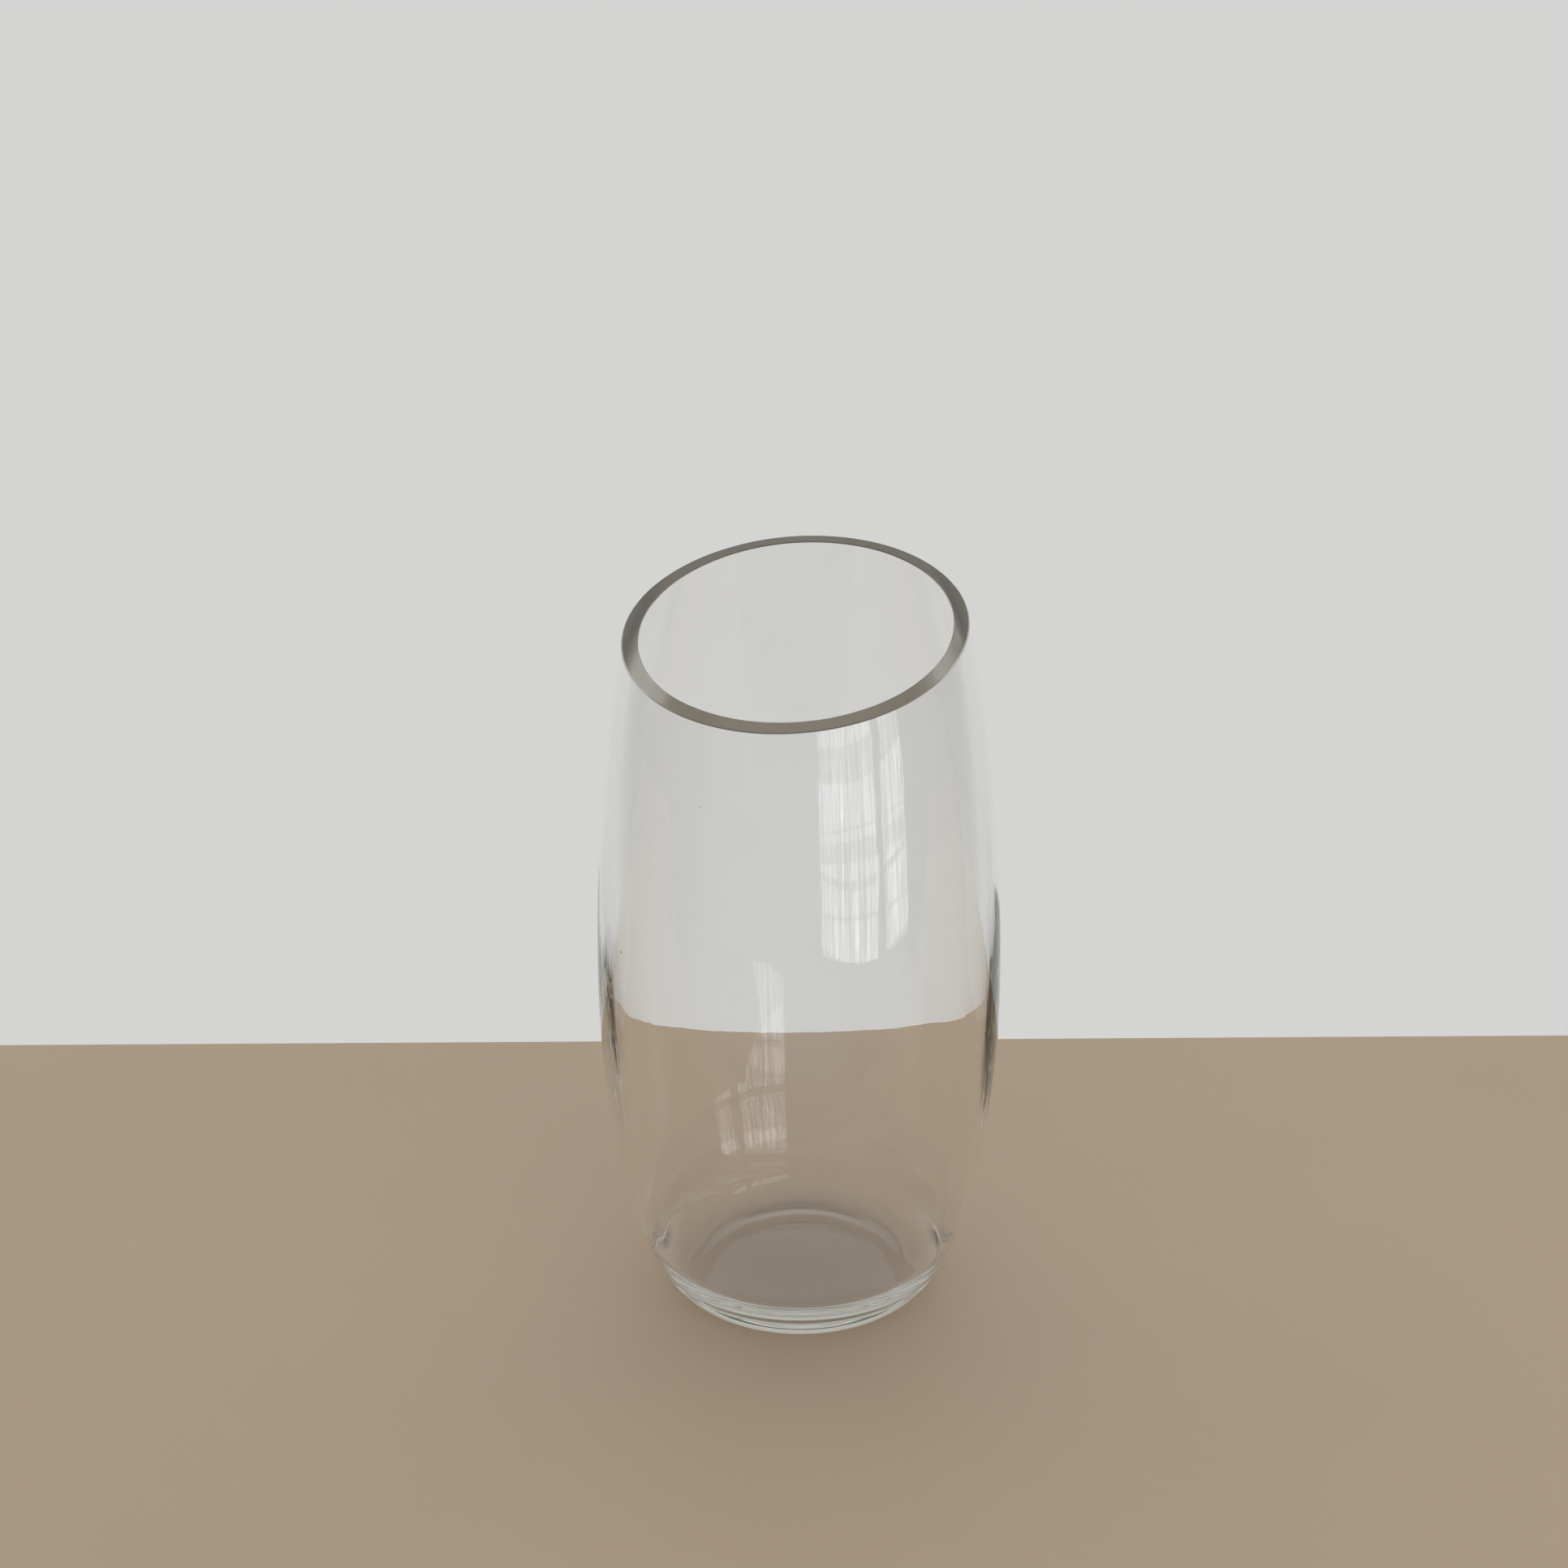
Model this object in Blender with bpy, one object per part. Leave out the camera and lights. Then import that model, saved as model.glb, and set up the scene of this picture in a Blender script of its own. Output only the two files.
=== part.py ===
"""Clear glass vase: a barrel-shaped body with a slanted, ground rim.

The real vase is one piece. It is blown into a mould, taller than it ends up, then
sawn off at a slant and ground flat, so that its rim is a flat sloping ring of glass.
It stands on a narrow foot ring round a shallow push-up in the base.

Metres, +Z up. The foot ring stands on Z = 0, the vase's axis is the Z axis, and the
rim's high side is towards +Y.
"""

from math import asin, cos, pi, radians, sin, sqrt, tan

import bmesh
import bpy
from mathutils import Vector

# Outside of the body. Every arc is tangent to the next, from the belly down to the foot.
BELLY_RADIUS = 0.060
BELLY_HEIGHT = 0.1011
UPPER_ARC = 0.620
LOWER_ARC = 0.3366
KNEE_ARC = 0.1045
KNEE_LEAN = radians(11.05)
HEEL_ARC = 0.0187

# The saw cut, which crosses the axis at RIM_HEIGHT and rises towards +Y.
RIM_HEIGHT = 0.2158
RIM_SLANT = radians(12.7)
ARRIS = 0.0004

# The glass is thick at the rim and the base, and thinnest just above the belly, where
# it was blown out furthest. Near the rim the inside wanders a little towards
# +Y, so the wall is thicker on the rim's low side than on its high side.
RIM_WALL = 0.0046
BELLY_WALL = 0.0020
INNER_BELLY_RISE = 0.0160
INNER_LOWER_ARC = 0.440
INNER_HEEL_ARC = 0.020
BASE = 0.0070
FLOOR_CROWN = 0.0005
INSIDE_DRIFT = 0.0015
DRIFT_POWER = 5

# The flat foot cuts the heel's rounding short, and a push-up is left inside its ring.
HEEL_TRIM = 0.0014
FOOT_RING = 0.0025
PUSH_UP = 0.0022
PUSH_UP_POWER = 2

# How finely the curves are divided.
SEGMENTS = 64
HEEL_STEPS = 3
KNEE_STEPS = 4
LOWER_STEPS = 4
UPPER_STEPS = 8
UNDERSIDE_STEPS = 4
FLOOR_STEPS = 3
INNER_HEEL_STEPS = 7
RIM_SEARCH_STEPS = 20
SHARP_ANGLE = radians(30)

# Colour and finish.
CLEAR_GLASS = {"name": "clear_glass", "colour": (0.93, 0.95, 0.93), "roughness": 0.02}
GROUND_GLASS = {"name": "ground_glass", "colour": (0.62, 0.62, 0.58), "roughness": 0.45}
GLASS_IOR = 1.5


def clear_scene():
    """Remove every object that the scene holds."""
    for thing in list(bpy.data.objects):
        bpy.data.objects.remove(thing, do_unlink=True)


def arc(centre, radius, start, end, steps):
    """Points (radius, height) along an arc, both ends included."""
    turns = [start + (end - start) * step / steps for step in range(steps + 1)]
    return [(centre[0] + radius * cos(turn), centre[1] + radius * sin(turn)) for turn in turns]


def arc_through(rise, drop):
    """Radius of the arc that starts upright and moves in by drop over a height of rise."""
    return (rise**2 + drop**2) / (2 * drop)


def upper_radius(side, height):
    """Radius of a side at a height above its belly."""
    return side["radius"] - side["arc"] + sqrt(side["arc"] ** 2 - (height - side["height"]) ** 2)


def outer_side():
    """The outside's belly, and the arc above it."""
    return {"radius": BELLY_RADIUS, "height": BELLY_HEIGHT, "arc": UPPER_ARC, "drift": 0}


def inner_side():
    """The inside's belly, and the arc above it that leaves RIM_WALL at the rim."""
    radius = BELLY_RADIUS - BELLY_WALL
    height = BELLY_HEIGHT + INNER_BELLY_RISE
    rim_radius = upper_radius(outer_side(), RIM_HEIGHT) - RIM_WALL
    arc_radius = arc_through(RIM_HEIGHT - height, radius - rim_radius)
    return {"radius": radius, "height": height, "arc": arc_radius, "drift": INSIDE_DRIFT}


def outer_lower_side():
    """The outside from the foot's edge up to the belly."""
    belly_centre = (BELLY_RADIUS - LOWER_ARC, BELLY_HEIGHT)
    reach = LOWER_ARC - KNEE_ARC
    knee_centre = (belly_centre[0] + reach * cos(KNEE_LEAN), belly_centre[1] - reach * sin(KNEE_LEAN))
    heel_height = HEEL_ARC - HEEL_TRIM
    lean = asin((knee_centre[1] - heel_height) / (KNEE_ARC - HEEL_ARC))
    heel_centre = (knee_centre[0] + (KNEE_ARC - HEEL_ARC) * cos(lean), heel_height)
    heel = arc(heel_centre, HEEL_ARC, -asin(heel_height / HEEL_ARC), -lean, HEEL_STEPS)
    knee = arc(knee_centre, KNEE_ARC, -lean, -KNEE_LEAN, KNEE_STEPS)
    side = arc(belly_centre, LOWER_ARC, -KNEE_LEAN, 0, LOWER_STEPS)
    return heel + knee[1:] + side[1:]


def inner_lower_side():
    """The inside from the floor's edge up to its belly."""
    belly = inner_side()
    belly_centre = (belly["radius"] - INNER_LOWER_ARC, belly["height"])
    heel_height = BASE + INNER_HEEL_ARC
    reach = INNER_LOWER_ARC - INNER_HEEL_ARC
    lean = asin((belly["height"] - heel_height) / reach)
    heel_centre = (belly_centre[0] + reach * cos(lean), heel_height)
    heel = arc(heel_centre, INNER_HEEL_ARC, -pi / 2, -lean, INNER_HEEL_STEPS)
    side = arc(belly_centre, INNER_LOWER_ARC, -lean, 0, LOWER_STEPS)
    return heel + side[1:]


def domed(edge, low, rise, power, steps):
    """A shallow dome from the axis out to its edge, without the edge itself."""
    radii = [edge * step / steps for step in range(steps)]
    return [(radius, low + rise * (1 - (radius / edge) ** power)) for radius in radii]


def placed(radius, height, angle, drift):
    """A point of the profile turned to its angle round the axis."""
    shift = drift * (height / RIM_HEIGHT) ** DRIFT_POWER
    return Vector((radius * cos(angle), radius * sin(angle) + shift, height))


def on_cut(point):
    """The point moved straight up or down onto the plane of the saw cut."""
    return Vector((point.x, point.y, RIM_HEIGHT + point.y * tan(RIM_SLANT)))


def rim_height(side, angle):
    """Height at which a side meets the saw cut."""
    height = RIM_HEIGHT
    for _ in range(RIM_SEARCH_STEPS):
        height = on_cut(placed(upper_radius(side, height), height, angle, side["drift"])).z
    return height


def upper_side(side, angle, into_glass):
    """A side from just above its belly up to the arris, and the arris on the cut."""
    rim = rim_height(side, angle)
    rise = rim - ARRIS - side["height"]
    heights = [side["height"] + rise * step / UPPER_STEPS for step in range(1, UPPER_STEPS + 1)]
    points = [placed(upper_radius(side, height), height, angle, side["drift"]) for height in heights]
    edge = on_cut(placed(upper_radius(side, rim) + into_glass, rim, angle, side["drift"]))
    return points, edge


def meridian(angle):
    """One half section of the vase, from the push-up's centre round to the floor's."""
    outside = outer_lower_side()
    inside = inner_lower_side()
    push_up = domed(outside[0][0] - FOOT_RING, 0, PUSH_UP, PUSH_UP_POWER, UNDERSIDE_STEPS)
    foot_edge = [(outside[0][0] - FOOT_RING, 0)]
    floor = domed(inside[0][0], BASE, FLOOR_CROWN, 2, FLOOR_STEPS)
    outer_upper, outer_arris = upper_side(outer_side(), angle, -ARRIS)
    inner_upper, inner_arris = upper_side(inner_side(), angle, ARRIS)
    outer = [placed(*point, angle, 0) for point in push_up + foot_edge + outside]
    inner = [placed(*point, angle, INSIDE_DRIFT) for point in floor + inside]
    rim_at = len(outer) + len(outer_upper)
    return outer + outer_upper + [outer_arris, inner_arris] + inner_upper[::-1] + inner[::-1], rim_at


def make_material(finish, glassy):
    """A Principled material for one finish of the glass."""
    material = bpy.data.materials.new(finish["name"])
    material.use_nodes = True
    shader = material.node_tree.nodes["Principled BSDF"]
    shader.inputs["Base Color"].default_value = (*finish["colour"], 1)
    shader.inputs["Roughness"].default_value = finish["roughness"]
    shader.inputs["Metallic"].default_value = 0
    shader.inputs["Transmission Weight"].default_value = glassy
    shader.inputs["IOR"].default_value = GLASS_IOR
    return material


def make_vase():
    """The whole vase: meridians all round, joined by quads and closed at the axis."""
    build = bmesh.new()
    angles = [2 * pi * turn / SEGMENTS for turn in range(SEGMENTS)]
    sections = [meridian(angle) for angle in angles]
    rim_at = sections[0][1]
    ends = [build.verts.new(sections[0][0][0]), build.verts.new(sections[0][0][-1])]
    columns = [[ends[0], *map(build.verts.new, points[1:-1]), ends[1]] for points, _ in sections]
    for near, far in zip(columns, columns[1:] + columns[:1]):
        for row in range(len(near) - 1):
            corners = [near[row], far[row], far[row + 1], near[row + 1]]
            face = build.faces.new(dict.fromkeys(corners))
            face.material_index = int(rim_at - 1 <= row <= rim_at + 1)
    bmesh.ops.recalc_face_normals(build, faces=build.faces)
    mesh = bpy.data.meshes.new("glass_vase")
    build.to_mesh(mesh)
    build.free()
    mesh.shade_smooth()
    mesh.set_sharp_from_angle(angle=SHARP_ANGLE)
    mesh.materials.append(make_material(CLEAR_GLASS, 1))
    mesh.materials.append(make_material(GROUND_GLASS, 0))
    vase = bpy.data.objects.new("glass_vase", mesh)
    bpy.context.collection.objects.link(vase)
    return vase


clear_scene()
make_vase()
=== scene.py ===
"""Clear glass vase with a barrel-shaped body and a slanted, ground rim.

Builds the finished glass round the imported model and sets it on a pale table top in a
soft, plain studio. Metres, +Z up, the rim's high side towards +Y.
"""

from math import asin, cos, pi, radians, sin, tan

import bmesh
import bpy
import numpy as np
from bpy.props import FloatProperty, FloatVectorProperty, IntProperty, PointerProperty
from bpy.types import Operator, Panel, PropertyGroup
from mathutils import Matrix, Vector


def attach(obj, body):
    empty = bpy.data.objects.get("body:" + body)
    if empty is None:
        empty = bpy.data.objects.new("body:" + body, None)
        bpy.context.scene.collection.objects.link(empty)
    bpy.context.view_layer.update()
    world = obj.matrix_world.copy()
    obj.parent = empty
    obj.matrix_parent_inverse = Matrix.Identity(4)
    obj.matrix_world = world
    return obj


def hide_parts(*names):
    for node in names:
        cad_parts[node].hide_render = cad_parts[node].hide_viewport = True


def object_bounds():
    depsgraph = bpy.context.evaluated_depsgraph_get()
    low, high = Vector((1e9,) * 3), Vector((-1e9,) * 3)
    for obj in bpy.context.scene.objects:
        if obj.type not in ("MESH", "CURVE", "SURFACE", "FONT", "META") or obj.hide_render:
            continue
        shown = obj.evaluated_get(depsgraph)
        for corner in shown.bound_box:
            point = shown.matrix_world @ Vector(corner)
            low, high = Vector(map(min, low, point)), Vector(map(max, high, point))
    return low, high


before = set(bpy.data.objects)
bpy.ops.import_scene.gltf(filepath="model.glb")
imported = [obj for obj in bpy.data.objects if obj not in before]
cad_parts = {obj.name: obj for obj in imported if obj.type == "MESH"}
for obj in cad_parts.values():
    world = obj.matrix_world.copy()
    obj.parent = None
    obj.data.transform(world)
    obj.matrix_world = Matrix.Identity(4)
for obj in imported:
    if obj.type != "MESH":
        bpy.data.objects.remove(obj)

bl_info = {
    "name": "Slanted Glass Vase",
    "version": (1, 0, 0),
    "blender": (4, 5, 0),
    "location": "3D View > Sidebar > Vase",
    "description": "Builds a mould-blown glass vase with a slanted, ground rim on a studio table top",
    "category": "Add Mesh",
}

NODE = "glass_vase"
FINISHES = ("clear", "ground", "worn")
CAD_LOW, CAD_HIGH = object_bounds()
BELLY_RADIUS = (CAD_HIGH.x - CAD_LOW.x) / 2

# How finely the glass is divided, from the push-up's middle to the floor's middle.
PUSH_UP_ROWS = 16
OUTER_LOWER_ROWS = (12, 18, 18)
SIDE_ROWS = 34
RIM_ROWS = 8
INNER_LOWER_ROWS = (24, 24)
FLOOR_ROWS = 14
FLOOR_POWER = 2
RIM_SEARCH_STEPS = 24
SHARP_ANGLE = radians(30)

# The waves in the glass fade out over this height, so the foot and the floor stay true.
CALM_HEIGHT = 0.02

# The table top lies this far under the foot ring, so that their faces never meet.
TABLE_GAP = 0.0002

# The curtained window: its two ends as bearings round the vase, and the heights and slopes
# that give its lower and upper edges at any reach.
WINDOW_BEARINGS = (radians(-79), radians(-28))
WINDOW_LOW, WINDOW_FALL = 0.15, radians(19)
WINDOW_HIGH, WINDOW_RISE = 0.10, radians(16)
WINDOW_BARS = ((0.17, 0.19), (0.40, 0.48), (0.52, 0.53))
BAR_SHADE = 0.7
WINDOW_GAP = (0.62, 0.72)
GAP_SHADE = 0.85

# The room's light turns into the backdrop's over this share of the way, either side of the vase.
BACKDROP_EDGE = 0.35


# ---------------------------------------------------------------- settings


class VaseSizes(PropertyGroup):
    """Sizes of the blown and cut glass."""

    belly_radius: FloatProperty(
        name="Belly Radius", description="Outside radius at the widest height",
        default=BELLY_RADIUS, unit="LENGTH")
    belly_height: FloatProperty(
        name="Belly Height", description="Height of the widest point above the foot",
        default=0.1011, unit="LENGTH")
    upper_arc: FloatProperty(
        name="Upper Arc", description="Radius of the side's curve above the belly",
        default=0.620, unit="LENGTH")
    lower_arc: FloatProperty(
        name="Lower Arc", description="Radius of the side's curve below the belly",
        default=0.3366, unit="LENGTH")
    knee_arc: FloatProperty(
        name="Knee Arc", description="Radius of the tighter curve near the foot",
        default=0.1045, unit="LENGTH")
    knee_lean: FloatProperty(
        name="Knee Lean", description="Lean of the side where the knee arc begins",
        default=radians(11.05), subtype="ANGLE")
    heel_arc: FloatProperty(
        name="Heel Arc", description="Radius of the outside corner at the foot",
        default=0.0187, unit="LENGTH")
    heel_trim: FloatProperty(
        name="Heel Trim", description="How far up the flat foot cuts the heel's rounding short",
        default=0.0014, unit="LENGTH")
    rim_height: FloatProperty(
        name="Rim Height", description="Height of the slanted cut on the vase's axis",
        default=0.2158, unit="LENGTH")
    rim_slant: FloatProperty(
        name="Rim Slant", description="Slope of the cut, rising towards +Y",
        default=radians(12.7), subtype="ANGLE")
    arris: FloatProperty(
        name="Arris", description="Width of the rubbed edge on each side of the rim face",
        default=0.0003, unit="LENGTH")
    rim_wall: FloatProperty(
        name="Rim Wall", description="Thickness of the wall at the rim",
        default=0.0046, unit="LENGTH")
    belly_wall: FloatProperty(
        name="Belly Wall", description="How much slimmer the inside's belly is than the outside's",
        default=0.0020, unit="LENGTH")
    inner_belly_rise: FloatProperty(
        name="Inner Belly Rise", description="How much higher the inside's widest point sits",
        default=0.0160, unit="LENGTH")
    inner_lower_arc: FloatProperty(
        name="Inner Lower Arc", description="Radius of the inside's curve below its belly",
        default=0.440, unit="LENGTH")
    inner_heel_arc: FloatProperty(
        name="Inner Heel Arc", description="Radius of the inside corner round the floor",
        default=0.020, unit="LENGTH")
    base: FloatProperty(
        name="Base", description="Height of the floor's edge above the foot ring",
        default=0.007, unit="LENGTH")
    floor_crown: FloatProperty(
        name="Floor Crown", description="Rise of the floor's middle",
        default=0.0005, unit="LENGTH")
    drift_power: FloatProperty(
        name="Drift Power", description="How late the drift sets in: 1 is a steady lean", default=5.0)
    inside_drift: FloatProperty(
        name="Inside Drift", description="How far the inside wanders towards +Y at rim height",
        default=0.0015, unit="LENGTH")
    foot_ring: FloatProperty(
        name="Foot Ring", description="Width of the flat ring that it stands on",
        default=0.0025, unit="LENGTH")
    push_up: FloatProperty(
        name="Push-up", description="Depth of the hollow under the base",
        default=0.0022, unit="LENGTH")
    push_up_power: FloatProperty(
        name="Push-up Power", description="How flat the hollow's middle is: 2 is a plain dome",
        default=2.0)
    segments: IntProperty(
        name="Segments", description="Divisions round the vase", default=384)


class GlassLook(PropertyGroup):
    """Colour, finish and small irregularities of the glass."""

    tint: FloatVectorProperty(
        name="Tint", description="Colour of the clear glass", subtype="COLOR",
        size=3, default=(0.985, 0.985, 0.98))
    depth_tint: FloatVectorProperty(
        name="Depth Tint", description="Colour that thick glass takes on", subtype="COLOR",
        size=3, default=(0.80, 0.83, 0.80))
    depth_density: FloatProperty(
        name="Depth Density", description="How quickly the depth tint builds up, per metre",
        default=8.0)
    # Partly painted light: the satin face's pale frosting, tinted tan to stand for the table's colour
    # seen up inside the wall.
    ground_and_painted_table_colour: FloatVectorProperty(
        name="Ground Colour", description="Colour of the ground rim face", subtype="COLOR",
        size=3, default=(0.74, 0.67, 0.58))
    ground_clearness: FloatProperty(
        name="Ground Clearness", description="Share of light that passes the ground face",
        default=0.78)
    worn_colour: FloatVectorProperty(
        name="Worn Colour", description="Colour of the dulled underside", subtype="COLOR",
        size=3, default=(0.98, 0.98, 0.965))
    worn_roughness: FloatProperty(
        name="Worn Roughness", description="How dull the underside is", default=0.05)
    ior: FloatProperty(name="IOR", description="Index of refraction", default=1.5)
    outer_wave: FloatProperty(
        name="Outer Wave", description="Height of the slow waves in the outside",
        default=0.00004, unit="LENGTH")
    inner_wave: FloatProperty(
        name="Inner Wave", description="Height of the slow waves in the inside",
        default=0.00012, unit="LENGTH")
    seed: IntProperty(name="Seed", description="Seed of the waves and chips", default=11)


class StudioSettings(PropertyGroup):
    """Camera, table top and light."""

    camera_reach: FloatProperty(
        name="Camera Reach", description="Level distance from the vase's axis to the camera",
        default=0.8093, unit="LENGTH")
    camera_height: FloatProperty(
        name="Camera Height", description="Height of the camera above the table top",
        default=0.5286, unit="LENGTH")
    camera_turn: FloatProperty(
        name="Camera Turn", description="Angle round the vase from its low side to the camera",
        default=radians(15.2), subtype="ANGLE")
    camera_pan: FloatProperty(
        name="Camera Pan", description="Aim to the left of the axis",
        default=radians(0.286), subtype="ANGLE")
    camera_tilt: FloatProperty(
        name="Camera Tilt", description="Downward tilt of the camera",
        default=radians(24.104), subtype="ANGLE")
    camera_roll: FloatProperty(
        name="Camera Roll", description="Turn of the camera about its line of sight",
        default=radians(-0.494), subtype="ANGLE")
    lens: FloatProperty(
        name="Lens", description="Focal length on a 36 mm sensor, in millimetres", default=70.06)
    table_colour: FloatVectorProperty(
        name="Table Colour", description="Colour of the table top", subtype="COLOR",
        size=3, default=(0.48, 0.37, 0.265))
    # Painted fill light: the table top glows on its own, so the shade under the vase stays light.
    table_glow: FloatProperty(
        name="Table Glow", description="Light of the table top's own, which fills the shadows",
        default=0.30)
    table_back: FloatProperty(
        name="Table Back", description="Distance from the axis to the table's far edge",
        default=0.1484, unit="LENGTH")
    table_front: FloatProperty(
        name="Table Front", description="Distance from the axis to the table's near edge",
        default=0.165, unit="LENGTH")
    table_half_width: FloatProperty(
        name="Table Half Width", description="Half the table top's width",
        default=0.8, unit="LENGTH")
    wall_light: FloatProperty(
        name="Wall Light", description="Brightness of the backdrop", default=0.66)
    room_light: FloatProperty(
        name="Room Light", description="Brightness of the room behind the camera", default=0.40)
    flag_light: FloatProperty(
        name="Flag Light", description="Light left in the dark flags on both sides", default=0.10)
    flag_start: FloatProperty(
        name="Flag Start", description="How far sideways the flags begin, 1 being straight out",
        default=0.72)
    flag_full: FloatProperty(
        name="Flag Full", description="How far sideways the flags are at their darkest",
        default=0.92)
    shade_light: FloatProperty(
        name="Shade Light", description="Light left below the level of the table top",
        default=0.04)
    shade_start: FloatProperty(
        name="Shade Start", description="How steeply down the shade begins, -1 being straight down",
        default=-0.50)
    shade_full: FloatProperty(
        name="Shade Full", description="How steeply down the shade is at its darkest",
        default=-0.60)
    light_bounces: IntProperty(
        name="Light Bounces", description="Enough for light to run down inside the wall", default=48)
    window_light: FloatProperty(
        name="Window Light", description="Brightness of the curtained window", default=4.5)
    window_reach: FloatProperty(
        name="Window Reach", description="Distance from the axis to the window",
        default=1.7, unit="LENGTH")


# ------------------------------------------------------------ the profile


def arc(centre, radius, start, end, steps):
    """Points (radius, height) along an arc, both ends included."""
    turns = np.linspace(start, end, steps + 1)
    return [(centre[0] + radius * cos(turn), centre[1] + radius * sin(turn)) for turn in turns]


def upper_radius(side, heights):
    """Radius of a side at heights above its belly."""
    return side["radius"] - side["arc"] + np.sqrt(side["arc"] ** 2 - (heights - side["height"]) ** 2)


def drifted(sizes, drift, height):
    """How far a side has wandered towards +Y at a height."""
    return drift * (height / sizes.rim_height) ** sizes.drift_power


def outer_side(sizes):
    """The outside's belly, and the arc above it."""
    return {"radius": sizes.belly_radius, "height": sizes.belly_height,
            "arc": sizes.upper_arc, "drift": 0.0}


def inner_side(sizes):
    """The inside's belly, and the arc above it that leaves the right wall at the rim."""
    radius = sizes.belly_radius - sizes.belly_wall
    height = sizes.belly_height + sizes.inner_belly_rise
    rise = sizes.rim_height - height
    drop = radius - upper_radius(outer_side(sizes), sizes.rim_height) + sizes.rim_wall
    return {"radius": radius, "height": height, "arc": (rise**2 + drop**2) / (2 * drop),
            "drift": sizes.inside_drift}


def outer_lower_side(sizes, steps):
    """The outside from the foot's edge up to the belly."""
    belly_centre = (sizes.belly_radius - sizes.lower_arc, sizes.belly_height)
    reach = sizes.lower_arc - sizes.knee_arc
    knee_centre = (belly_centre[0] + reach * cos(sizes.knee_lean),
                   belly_centre[1] - reach * sin(sizes.knee_lean))
    reach = sizes.knee_arc - sizes.heel_arc
    heel_height = sizes.heel_arc - sizes.heel_trim
    lean = asin((knee_centre[1] - heel_height) / reach)
    heel_centre = (knee_centre[0] + reach * cos(lean), heel_height)
    heel = arc(heel_centre, sizes.heel_arc, -asin(heel_height / sizes.heel_arc), -lean, steps[0])
    knee = arc(knee_centre, sizes.knee_arc, -lean, -sizes.knee_lean, steps[1])
    side = arc(belly_centre, sizes.lower_arc, -sizes.knee_lean, 0, steps[2])
    return heel + knee[1:] + side[1:]


def inner_lower_side(sizes, steps):
    """The inside from the floor's edge up to its belly."""
    belly = inner_side(sizes)
    belly_centre = (belly["radius"] - sizes.inner_lower_arc, belly["height"])
    reach = sizes.inner_lower_arc - sizes.inner_heel_arc
    heel_height = sizes.base + sizes.inner_heel_arc
    lean = asin((belly["height"] - heel_height) / reach)
    heel_centre = (belly_centre[0] + reach * cos(lean), heel_height)
    heel = arc(heel_centre, sizes.inner_heel_arc, -pi / 2, -lean, steps[0])
    side = arc(belly_centre, sizes.inner_lower_arc, -lean, 0, steps[1])
    return heel + side[1:]


def domed(edge, low, rise, power, steps):
    """A shallow dome from the axis out to its edge, without the edge itself."""
    radii = np.linspace(0, edge, steps + 1)[:-1]
    return [(radius, low + rise * (1 - (radius / edge) ** power)) for radius in radii]


def cut_height(sizes, y):
    """Height of the slanted cut at a place across the vase."""
    return sizes.rim_height + y * tan(sizes.rim_slant)


def rim_heights(sizes, side, angles):
    """Heights at which a side meets the cut, one for each angle."""
    heights = np.full_like(angles, sizes.rim_height)
    for _ in range(RIM_SEARCH_STEPS):
        across = upper_radius(side, heights) * np.sin(angles)
        heights = cut_height(sizes, across + drifted(sizes, side["drift"], heights))
    return heights


class Waves:
    """Slow irregularities of blown glass: a few ripples round the vase that drift with height."""

    def __init__(self, draw, height, counts):
        self.parts = []
        for count in counts:
            strength = height * draw.uniform(0.4, 1.0) * counts[0] / count
            self.parts.append((count, strength, draw.uniform(0, 2 * pi), draw.uniform(-9, 9),
                               draw.uniform(14, 45), draw.uniform(0, 2 * pi)))

    def at(self, angles, height):
        """Offset along the radius at each angle, at one height or at a height for each."""
        total = np.zeros_like(angles)
        for count, strength, start, lean, bob, late in self.parts:
            swell = 0.65 + 0.35 * np.sin(bob * height + late)
            total += strength * swell * np.cos(count * angles + start + lean * height)
        return total


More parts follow.
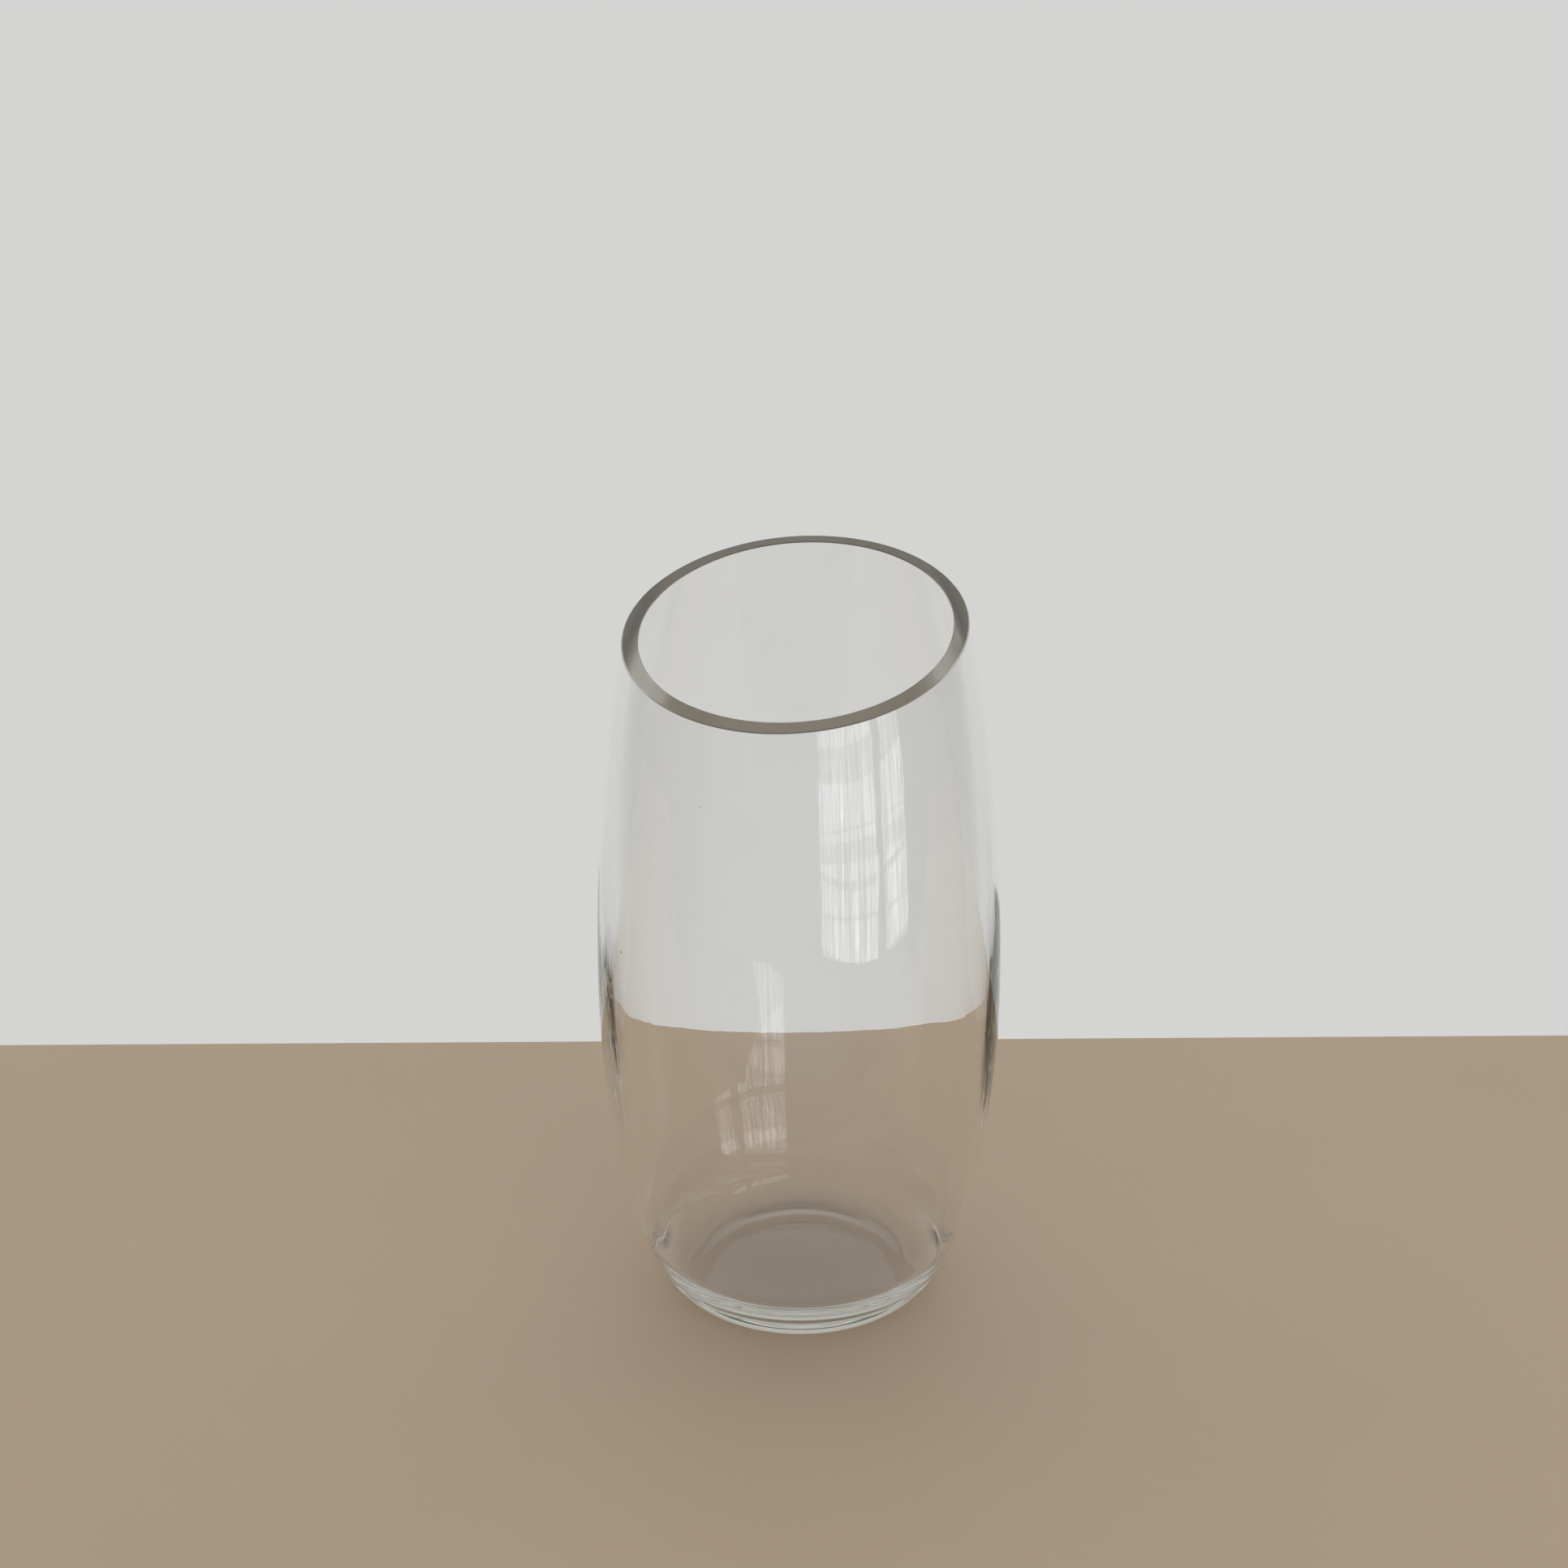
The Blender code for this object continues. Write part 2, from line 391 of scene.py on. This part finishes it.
def rows_of_vase(sizes, look):
    """Rings of points from the push-up's centre, round the rim, to the floor's centre.

    Gives the rows as (segments, 3) arrays, where the foot ends, and which rows are ground.
    """
    draw = np.random.default_rng(look.seed)
    outer_waves = Waves(draw, look.outer_wave, (5, 7, 11, 16, 23, 31, 43))
    inner_waves = Waves(draw, look.inner_wave, (4, 6, 9, 13, 19, 27, 38))
    angles = np.linspace(0, 2 * pi, sizes.segments, endpoint=False)
    rows = []

    def ring(radius, height, drift=0.0, waves=None, fade=1.0):
        offset = waves.at(angles, height) * fade if waves else 0.0
        reach = radius + offset
        lift = np.zeros_like(angles) + height
        rows.append(np.stack([reach * np.cos(angles),
                              reach * np.sin(angles) + drifted(sizes, drift, lift),
                              lift], axis=1))

    outside = outer_lower_side(sizes, OUTER_LOWER_ROWS)
    inside = inner_lower_side(sizes, INNER_LOWER_ROWS)
    hollow_edge = outside[0][0] - sizes.foot_ring
    for point in domed(hollow_edge, 0, sizes.push_up, sizes.push_up_power, PUSH_UP_ROWS):
        ring(*point)
    ring(hollow_edge, 0)
    ring(hollow_edge + sizes.foot_ring / 2, 0)
    foot_to = len(rows)
    for radius, height in outside:
        ring(radius, height, 0, outer_waves, min(1, height / CALM_HEIGHT))

    outer, inner = outer_side(sizes), inner_side(sizes)
    outer_rim = rim_heights(sizes, outer, angles)
    inner_rim = rim_heights(sizes, inner, angles)
    for share in np.linspace(0, 1, SIDE_ROWS + 1)[1:]:
        height = outer["height"] + share * (outer_rim - sizes.arris - outer["height"])
        ring(upper_radius(outer, height), height, 0, outer_waves)
    ground_from = len(rows) - 1
    outer_edge = edge_ring(sizes, outer, angles, outer_rim, -sizes.arris, outer_waves)
    inner_edge = edge_ring(sizes, inner, angles, inner_rim, sizes.arris, inner_waves)
    for share in np.linspace(0, 1, RIM_ROWS + 1):
        rows.append(outer_edge + (inner_edge - outer_edge) * share)
    ground_to = len(rows)
    for share in np.linspace(1, 0, SIDE_ROWS + 1)[:-1]:
        height = inner["height"] + share * (inner_rim - sizes.arris - inner["height"])
        ring(upper_radius(inner, height), height, sizes.inside_drift, inner_waves)
    for radius, height in inside[::-1]:
        calm = min(1, (height - sizes.base) / CALM_HEIGHT)
        ring(radius, height, sizes.inside_drift, inner_waves, calm)
    floor = domed(inside[0][0], sizes.base, sizes.floor_crown, FLOOR_POWER, FLOOR_ROWS)
    for radius, height in floor[::-1]:
        ring(radius, height, sizes.inside_drift)
    return rows, foot_to, (ground_from, ground_to)


def edge_ring(sizes, side, angles, heights, shift, waves):
    """The line where the ground face begins, on the cut plane."""
    reach = upper_radius(side, heights) + shift + waves.at(angles, heights)
    across = reach * np.sin(angles) + drifted(sizes, side["drift"], heights)
    return np.stack([reach * np.cos(angles), across, cut_height(sizes, across)], axis=1)


# --------------------------------------------------------------- materials


def new_group(name, inputs, outputs):
    """An empty shader node group with named sockets, and its input and output nodes."""
    group = bpy.data.node_groups.new(name, "ShaderNodeTree")
    for label, kind, value in inputs:
        socket = group.interface.new_socket(name=label, in_out="INPUT", socket_type=kind)
        if value is not None:
            socket.default_value = value
    for label, kind in outputs:
        group.interface.new_socket(name=label, in_out="OUTPUT", socket_type=kind)
    return group, group.nodes.new("NodeGroupInput"), group.nodes.new("NodeGroupOutput")


def add_node(tree, kind, links=None, **values):
    """A node with its sockets set by name or number, and linked to other nodes' outputs."""
    node = tree.nodes.new(kind)
    for key, value in values.items():
        if key in node.bl_rna.properties:
            setattr(node, key, value)
        else:
            node.inputs[key.replace("_", " ")].default_value = value
    for key, source in (links or {}).items():
        tree.links.new(source, node.inputs[key])
    return node


def maths(tree, operation, first, second=None, clamp=False):
    """A Math node whose two sides are outputs or plain numbers; gives its output."""
    node = tree.nodes.new("ShaderNodeMath")
    node.operation = operation
    node.use_clamp = clamp
    for index, side in enumerate((first, second)):
        if side is None:
            continue
        if isinstance(side, (int, float)):
            node.inputs[index].default_value = side
        else:
            tree.links.new(side, node.inputs[index])
    return node.outputs[0]


def blend(tree, share, first, second):
    """A colour mix; the two colours are outputs or plain colours."""
    node = tree.nodes.new("ShaderNodeMix")
    node.data_type = "RGBA"
    tree.links.new(share, node.inputs["Factor"])
    for name, side in (("A", first), ("B", second)):
        socket = next(s for s in node.inputs if s.name == name and s.type == "RGBA")
        if isinstance(side, (tuple, list)):
            socket.default_value = (*side[:3], 1)
        else:
            tree.links.new(side, socket)
    return next(s for s in node.outputs if s.type == "RGBA")


def handling_group():
    """Marks of use: dust specks, and faint wiped patches, as masks from 0 to 1."""
    inputs = [("Position", "NodeSocketVector", None), ("Speck Scale", "NodeSocketFloat", 90.0),
              ("Speck Amount", "NodeSocketFloat", 0.10), ("Smear Scale", "NodeSocketFloat", 14.0)]
    group, given, out = new_group("Handling Marks", inputs,
                                  [("Specks", "NodeSocketFloat"), ("Smears", "NodeSocketFloat")])
    cells = add_node(group, "ShaderNodeTexVoronoi", {
        "Vector": given.outputs["Position"], "Scale": given.outputs["Speck Scale"]})
    chosen = add_node(group, "ShaderNodeSeparateColor", {"Color": cells.outputs["Color"]})
    kept = maths(group, "LESS_THAN", chosen.outputs[0], given.outputs["Speck Amount"])
    size = maths(group, "MULTIPLY", chosen.outputs[1], 0.05)
    size = maths(group, "ADD", size, 0.02)
    near = maths(group, "LESS_THAN", cells.outputs["Distance"], size)
    group.links.new(maths(group, "MULTIPLY", kept, near), out.inputs["Specks"])
    cloud = add_node(group, "ShaderNodeTexNoise", {
        "Vector": given.outputs["Position"], "Scale": given.outputs["Smear Scale"]},
        Detail=5.0, Roughness=0.62, Distortion=0.8)
    smears = add_node(group, "ShaderNodeMapRange", {"Value": cloud.outputs[0]}, clamp=True)
    smears.inputs["From Min"].default_value = 0.52
    smears.inputs["From Max"].default_value = 0.78
    group.links.new(smears.outputs[0], out.inputs["Smears"])
    return group


def principled(material):
    """The material's node tree and its Principled shader."""
    material.use_nodes = True
    return material.node_tree, material.node_tree.nodes["Principled BSDF"]


def place_group(tree, group, **values):
    """A group in a material, with its own values."""
    node = tree.nodes.new("ShaderNodeGroup")
    node.node_tree = group
    for key, value in values.items():
        node.inputs[key.replace("_", " ")].default_value = value
    return node


def glass_start(name, look, clearness=1):
    """A glass material that takes on its tint with depth: itself, its tree, shader and places."""
    material = bpy.data.materials.new(name)
    tree, shader = principled(material)
    shader.inputs["Transmission Weight"].default_value = clearness
    shader.inputs["IOR"].default_value = look.ior
    depth = tree.nodes.new("ShaderNodeVolumeAbsorption")
    depth.inputs["Color"].default_value = (*look.depth_tint, 1)
    depth.inputs["Density"].default_value = look.depth_density
    tree.links.new(depth.outputs[0], tree.nodes["Material Output"].inputs["Volume"])
    return material, tree, shader, add_node(tree, "ShaderNodeTexCoord")


def stepped(tree, value, start, full):
    """A mask that rises from 0 to 1 between two values, with soft ends."""
    step = add_node(tree, "ShaderNodeMapRange", {"Value": value}, clamp=True)
    step.interpolation_type = "SMOOTHSTEP"
    step.inputs["From Min"].default_value = start
    step.inputs["From Max"].default_value = full
    return step.outputs[0]


def clear_glass(look, marks):
    """Blown clear glass: a breath of tint, draw lines up the wall, dust and wiped patches."""
    material, tree, shader, where = glass_start("clear_glass", look)
    handled = place_group(tree, marks, Speck_Scale=120.0, Speck_Amount=0.035, Smear_Scale=16.0)
    tree.links.new(where.outputs["Object"], handled.inputs["Position"])
    tint = tuple(look.tint)
    smeared = tuple(part * 0.965 for part in tint)
    colour = blend(tree, handled.outputs["Smears"], tint, smeared)
    colour = blend(tree, handled.outputs["Specks"], colour, (0.25, 0.24, 0.22))
    tree.links.new(colour, shader.inputs["Base Color"])
    rough = maths(tree, "MULTIPLY", handled.outputs["Smears"], 0.02)
    rough = maths(tree, "ADD", rough, 0.004)
    tree.links.new(rough, shader.inputs["Roughness"])
    drawn = add_node(tree, "ShaderNodeMapping", {"Vector": where.outputs["Object"]})
    drawn.inputs["Scale"].default_value = (1, 1, 0.06)
    lines = add_node(tree, "ShaderNodeTexNoise", {"Vector": drawn.outputs[0]},
                     Scale=150.0, Detail=3.0, Roughness=0.55)
    lumps = add_node(tree, "ShaderNodeTexNoise", {"Vector": where.outputs["Object"]},
                     Scale=42.0, Detail=2.0, Roughness=0.5)
    height = maths(tree, "MULTIPLY", lumps.outputs[0], 0.6)
    height = maths(tree, "ADD", lines.outputs[0], height)
    bump = add_node(tree, "ShaderNodeBump", {"Height": height}, Strength=0.5, Distance=0.00006)
    tree.links.new(bump.outputs[0], shader.inputs["Normal"])
    return material


def ground_glass(look, marks):
    """The saw cut, ground flat and left satin, with a fine grain and paler worn spots. Its tan is
    partly painted light: a pale frosted colour, tinted to stand for the table's colour seen up inside
    the wall.
    """
    material, tree, shader, where = glass_start("ground_glass", look, look.ground_clearness)
    handled = place_group(tree, marks, Speck_Scale=420.0, Speck_Amount=0.12, Smear_Scale=60.0)
    tree.links.new(where.outputs["Object"], handled.inputs["Position"])
    # Painted light in part: the tan stands for the table's colour that the wall carries up to the rim
    # face.
    ground = tuple(look.ground_and_painted_table_colour)
    colour = blend(tree, handled.outputs["Smears"], ground, tuple(part * 0.88 for part in ground))
    colour = blend(tree, handled.outputs["Specks"], colour, (0.95, 0.94, 0.90))
    tree.links.new(colour, shader.inputs["Base Color"])
    grain = add_node(tree, "ShaderNodeTexNoise", {"Vector": where.outputs["Object"]},
                     Scale=2600.0, Detail=2.0, Roughness=0.6)
    rough = maths(tree, "MULTIPLY", handled.outputs["Smears"], 0.08)
    rough = maths(tree, "ADD", rough, 0.34)
    tree.links.new(rough, shader.inputs["Roughness"])
    bump = add_node(tree, "ShaderNodeBump", {"Height": grain.outputs[0]},
                    Strength=0.35, Distance=0.00004)
    tree.links.new(bump.outputs[0], shader.inputs["Normal"])
    return material


def worn_glass(look, marks):
    """The underside, a touch duller than the sides, with a few scuffs."""
    material, tree, shader, where = glass_start("worn_glass", look)
    handled = place_group(tree, marks, Speck_Scale=300.0, Speck_Amount=0.10, Smear_Scale=40.0)
    tree.links.new(where.outputs["Object"], handled.inputs["Position"])
    worn = tuple(look.worn_colour)
    colour = blend(tree, handled.outputs["Smears"], worn, tuple(part * 0.93 for part in worn))
    colour = blend(tree, handled.outputs["Specks"], colour, (0.70, 0.68, 0.62))
    tree.links.new(colour, shader.inputs["Base Color"])
    rough = maths(tree, "MULTIPLY", handled.outputs["Smears"], 0.10)
    rough = maths(tree, "ADD", rough, look.worn_roughness)
    tree.links.new(rough, shader.inputs["Roughness"])
    return material


# --------------------------------------------------------------- operators


class VASE_OT_glass_body(Operator):
    """Build the blown glass body with its ground rim"""

    bl_idname = "vase.glass_body"
    bl_label = "Glass Body"

    def execute(self, context):
        sizes, look = context.scene.vase_sizes, context.scene.vase_look
        rows, foot_to, ground = rows_of_vase(sizes, look)
        build = bmesh.new()
        rings = [[build.verts.new(point) for point in row] for row in rows[1:-1]]
        first = build.verts.new(rows[0].mean(axis=0))
        last = build.verts.new(rows[-1].mean(axis=0))
        count = sizes.segments
        for index, (low, high) in enumerate(zip(rings, rings[1:]), start=1):
            finish = FINISHES.index("ground" if ground[0] <= index < ground[1] else
                                    "worn" if index < foot_to else "clear")
            for turn in range(count):
                following = (turn + 1) % count
                face = build.faces.new((low[turn], low[following], high[following], high[turn]))
                face.material_index = finish
        for turn in range(count):
            following = (turn + 1) % count
            middle = build.faces.new((first, rings[0][following], rings[0][turn]))
            middle.material_index = FINISHES.index("worn")
            build.faces.new((last, rings[-1][turn], rings[-1][following]))
        bmesh.ops.recalc_face_normals(build, faces=build.faces)
        mesh = bpy.data.meshes.new("vase_body")
        build.to_mesh(mesh)
        build.free()
        mesh.shade_smooth()
        mesh.set_sharp_from_angle(angle=SHARP_ANGLE)
        marks = handling_group()
        mesh.materials.append(clear_glass(look, marks))
        mesh.materials.append(ground_glass(look, marks))
        mesh.materials.append(worn_glass(look, marks))
        body = bpy.data.objects.new("vase_body", mesh)
        context.scene.collection.objects.link(body)
        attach(body, "root")
        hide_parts(NODE)
        return {"FINISHED"}


def table_material(colour, glow):
    """Plain tan table top with a soft, faint mottle, lit a little from within: a painted fill light
    that lifts the shade under the vase.
    """
    material = bpy.data.materials.new("table_top")
    tree, shader = principled(material)
    where = add_node(tree, "ShaderNodeTexCoord")
    mottle = add_node(tree, "ShaderNodeTexNoise", {"Vector": where.outputs["Object"]},
                      Scale=9.0, Detail=3.0)
    deeper = tuple(part * 0.94 for part in colour)
    mottled = blend(tree, mottle.outputs[0], tuple(colour), deeper)
    tree.links.new(mottled, shader.inputs["Base Color"])
    # Painted fill light: the top glows in its own colour to lift the shade under the vase.
    tree.links.new(mottled, shader.inputs["Emission Color"])
    shader.inputs["Emission Strength"].default_value = glow
    shader.inputs["Roughness"].default_value = 0.6
    return material


def shaded_strip(tree, glow, along, ends, shade):
    """The glow, darkened by a share between two places along one way."""
    start, end = ends
    inside = maths(tree, "MULTIPLY", maths(tree, "GREATER_THAN", along, start),
                   maths(tree, "LESS_THAN", along, end))
    left = maths(tree, "SUBTRACT", 1.0, maths(tree, "MULTIPLY", inside, shade))
    return maths(tree, "MULTIPLY", glow, left)


def window_material(strength):
    """A window behind a sheer curtain: upright folds of light with a few bars across."""
    material = bpy.data.materials.new("curtained_window")
    material.use_nodes = True
    tree = material.node_tree
    tree.nodes.clear()
    where = add_node(tree, "ShaderNodeTexCoord")
    parts = add_node(tree, "ShaderNodeSeparateXYZ", {"Vector": where.outputs["UV"]})
    across, up = parts.outputs[0], parts.outputs[1]
    stretched = add_node(tree, "ShaderNodeMapping", {"Vector": where.outputs["UV"]})
    stretched.inputs["Scale"].default_value = (1, 0.05, 1)
    folds = add_node(tree, "ShaderNodeTexNoise", {"Vector": stretched.outputs[0]},
                     Scale=44.0, Detail=3.0, Roughness=0.65)
    light = add_node(tree, "ShaderNodeMapRange", {"Value": folds.outputs[0]}, clamp=True)
    light.inputs["From Min"].default_value = 0.42
    light.inputs["From Max"].default_value = 0.66
    glow = maths(tree, "ADD", maths(tree, "MULTIPLY", light.outputs[0], 0.8), 0.2)
    for bar in WINDOW_BARS:
        glow = shaded_strip(tree, glow, up, bar, BAR_SHADE)
    glow = shaded_strip(tree, glow, across, WINDOW_GAP, GAP_SHADE)
    emission = add_node(tree, "ShaderNodeEmission")
    tree.links.new(maths(tree, "MULTIPLY", glow, strength), emission.inputs["Strength"])
    emission.inputs["Color"].default_value = (0.95, 0.98, 1.0, 1)
    output = tree.nodes.new("ShaderNodeOutputMaterial")
    tree.links.new(emission.outputs[0], output.inputs["Surface"])
    return material


def sheet(name, corners):
    """A flat four-cornered sheet with a full UV square."""
    mesh = bpy.data.meshes.new(name)
    mesh.from_pydata(corners, [], [(0, 1, 2, 3)])
    layer = mesh.uv_layers.new(name="UVMap")
    for loop, place in zip(layer.data, ((0, 0), (1, 0), (1, 1), (0, 1))):
        loop.uv = place
    thing = bpy.data.objects.new(name, mesh)
    bpy.context.scene.collection.objects.link(thing)
    return thing


class VASE_OT_studio(Operator):
    """Set up the pale table top, the soft light and the camera"""

    bl_idname = "vase.studio"
    bl_label = "Studio"

    def execute(self, context):
        studio = context.scene.vase_studio
        self.table(studio)
        self.window(studio)
        self.room(context.scene, studio)
        self.camera(context.scene, studio)
        context.scene.view_settings.view_transform = "Standard"
        for kind in ("max_bounces", "glossy_bounces", "transmission_bounces"):
            setattr(context.scene.cycles, kind, studio.light_bounces)
        return {"FINISHED"}

    def turned(self, studio, x, y, z):
        """A place given as seen from the camera's side, in the vase's own frame."""
        return Matrix.Rotation(studio.camera_turn, 3, "Z") @ Vector((x, y, z))

    def table(self, studio):
        """The table top, just under the foot ring."""
        wide = studio.table_half_width
        places = ((-wide, -studio.table_front), (wide, -studio.table_front),
                  (wide, studio.table_back), (-wide, studio.table_back))
        top = sheet("table_top", [self.turned(studio, x, y, -TABLE_GAP) for x, y in places])
        top.data.materials.append(table_material(studio.table_colour, studio.table_glow))

    def window(self, studio):
        """The curtained window, to the right behind the camera."""
        reach = studio.window_reach
        ends = [(reach * cos(turn), reach * sin(turn)) for turn in WINDOW_BEARINGS]
        low = WINDOW_LOW - reach * tan(WINDOW_FALL)
        high = WINDOW_HIGH + reach * tan(WINDOW_RISE)
        places = [(*ends[0], low), (*ends[1], low), (*ends[1], high), (*ends[0], high)]
        window = sheet("curtained_window", [self.turned(studio, *place) for place in places])
        window.data.materials.append(window_material(studio.window_light))
        window.visible_camera = False

    def room(self, scene, studio):
        """Pale light from the backdrop, less from the room, with dark flags and a shade below."""
        world = bpy.data.worlds.new("studio")
        scene.world = world
        world.use_nodes = True
        tree = world.node_tree
        where = add_node(tree, "ShaderNodeTexCoord").outputs["Generated"]
        wall = (studio.wall_light, studio.wall_light, studio.wall_light * 0.985)
        room = (studio.room_light, studio.room_light * 0.99, studio.room_light * 0.97)
        shade = (studio.shade_light, studio.shade_light * 0.99, studio.shade_light * 0.97)
        backwards = self.share_towards(tree, studio, where, (0, 1, 0))
        colour = blend(tree, stepped(tree, backwards, -BACKDROP_EDGE, BACKDROP_EDGE), room, wall)
        sideways = maths(tree, "ABSOLUTE", self.share_towards(tree, studio, where, (1, 0, 0)))
        flag = stepped(tree, sideways, studio.flag_start, studio.flag_full)
        colour = blend(tree, flag, colour, (studio.flag_light,) * 3)
        height = add_node(tree, "ShaderNodeSeparateXYZ", {"Vector": where}).outputs[2]
        below = stepped(tree, height, studio.shade_start, studio.shade_full)
        colour = blend(tree, below, colour, shade)
        tree.links.new(colour, tree.nodes["Background"].inputs["Color"])

    def share_towards(self, tree, studio, where, way):
        """How far a direction points one way, from -1 to 1."""
        towards = add_node(tree, "ShaderNodeVectorMath", {0: where}, operation="DOT_PRODUCT")
        towards.inputs[1].default_value = self.turned(studio, *way)
        return towards.outputs["Value"]

    def camera(self, scene, studio):
        """The camera, looking down at the vase from its low side."""
        data = bpy.data.cameras.new("camera")
        data.sensor_width = 36
        data.lens = studio.lens
        camera = bpy.data.objects.new("camera", data)
        scene.collection.objects.link(camera)
        camera.location = self.turned(studio, 0, -studio.camera_reach, studio.camera_height)
        turn = Matrix.Rotation(studio.camera_turn + studio.camera_pan, 3, "Z")
        tilt = Matrix.Rotation(pi / 2 - studio.camera_tilt, 3, "X")
        roll = Matrix.Rotation(studio.camera_roll, 3, "Z")
        camera.rotation_euler = (turn @ tilt @ roll).to_euler()
        scene.camera = camera


class VASE_PT_sidebar(Panel):
    """Sizes, look and steps of the vase"""

    bl_label = "Slanted Glass Vase"
    bl_idname = "VASE_PT_sidebar"
    bl_space_type = "VIEW_3D"
    bl_region_type = "UI"
    bl_category = "Vase"

    def draw(self, context):
        scene = context.scene
        for title, settings in (("Sizes", scene.vase_sizes), ("Glass", scene.vase_look),
                                ("Studio", scene.vase_studio)):
            box = self.layout.box()
            box.label(text=title)
            for name in settings.__annotations__:
                box.prop(settings, name)
        self.layout.operator(VASE_OT_glass_body.bl_idname)
        self.layout.operator(VASE_OT_studio.bl_idname)


CLASSES = (VaseSizes, GlassLook, StudioSettings, VASE_OT_glass_body, VASE_OT_studio, VASE_PT_sidebar)


def register():
    """Add the classes and the settings they keep on each scene."""
    for entry in CLASSES:
        bpy.utils.register_class(entry)
    bpy.types.Scene.vase_sizes = PointerProperty(type=VaseSizes)
    bpy.types.Scene.vase_look = PointerProperty(type=GlassLook)
    bpy.types.Scene.vase_studio = PointerProperty(type=StudioSettings)


def unregister():
    """Take the settings and the classes away again."""
    for name in ("vase_sizes", "vase_look", "vase_studio"):
        delattr(bpy.types.Scene, name)
    for entry in reversed(CLASSES):
        bpy.utils.unregister_class(entry)


def main():
    """Build the vase and its studio."""
    register()
    bpy.ops.vase.glass_body()
    bpy.ops.vase.studio()


if __name__ == "__main__":
    main()
